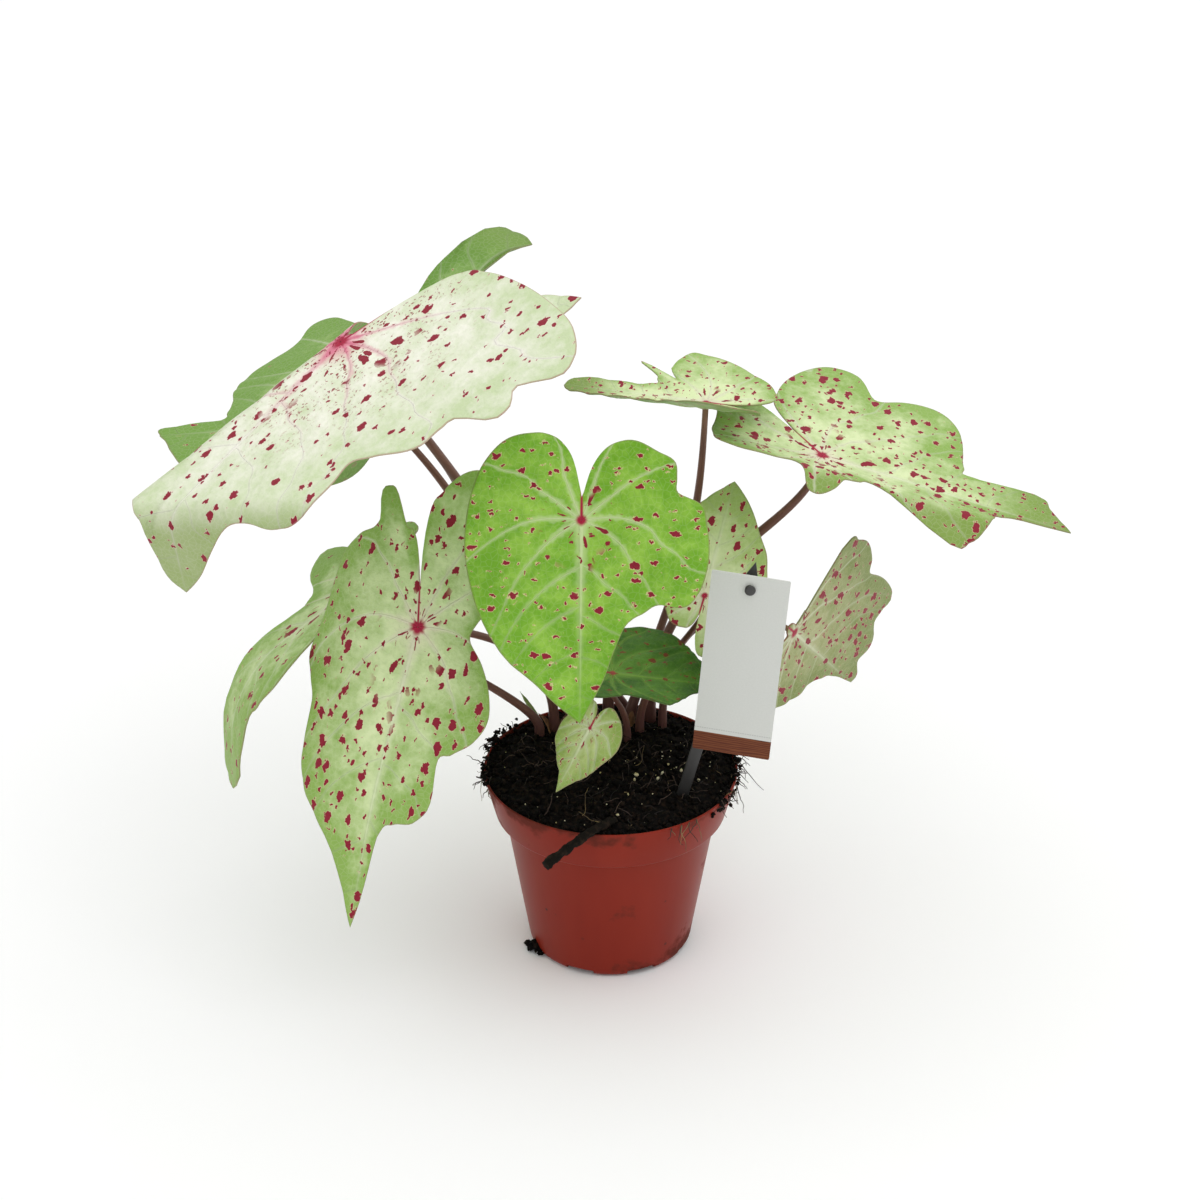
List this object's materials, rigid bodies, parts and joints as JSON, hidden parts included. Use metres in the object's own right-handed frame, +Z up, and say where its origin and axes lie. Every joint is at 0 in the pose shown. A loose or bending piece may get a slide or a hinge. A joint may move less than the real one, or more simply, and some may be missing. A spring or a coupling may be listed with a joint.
{
  "type": "potted caladium",
  "caption": "Caladium with heart-shaped spotted leaves on thin stalks in a round plastic nursery pot of peat, with a plain card on a stake.",
  "frame": {"origin": "middle of the pot's foot, on the surface it stands on", "axes": "+Z up along the pot's axis; -Y towards the side that is seen most; +X to the right of that side"},
  "size_m": [0.4221, 0.2777, 0.3551],
  "materials": {
    "pot_plastic": "satin",
    "peat": "matte",
    "leaf_pale": "satin",
    "leaf_spotted": "satin",
    "leaf_green": "satin",
    "leaf_shaded": "satin",
    "leaf_stalk": "satin",
    "leaf_shoot": "satin",
    "card": "matte",
    "stake_plastic": "gloss",
    "bark": "matte"
  },
  "bodies": {
    "root": {"pot": "pot_plastic", "peat": "peat", "leaf_heart": "leaf_green", "petiole_heart": "leaf_stalk", "leaf_front_left": "leaf_spotted", "petiole_front_left": "leaf_stalk", "leaf_left_narrow": "leaf_spotted", "petiole_left_narrow": "leaf_stalk", "leaf_upper_left": "leaf_pale", "petiole_upper_left": "leaf_stalk", "leaf_back_left": "leaf_spotted", "petiole_back_left": "leaf_stalk", "leaf_back_top": "leaf_spotted", "petiole_back_top": "leaf_stalk", "leaf_back_small": "leaf_pale", "petiole_back_small": "leaf_stalk", "leaf_right": "leaf_spotted", "petiole_right": "leaf_stalk", "leaf_upper_middle": "leaf_spotted", "petiole_upper_middle": "leaf_stalk", "leaf_behind_tag": "leaf_spotted", "petiole_behind_tag": "leaf_stalk", "leaf_low_right": "leaf_spotted", "petiole_low_right": "leaf_stalk", "leaf_dark": "leaf_shaded", "petiole_dark": "leaf_stalk", "leaf_small_front": "leaf_spotted", "petiole_small_front": "leaf_stalk", "shoot": "leaf_shoot", "card": "card", "stake": "stake_plastic", "sliver": "bark"}
  },
  "joints": []
}
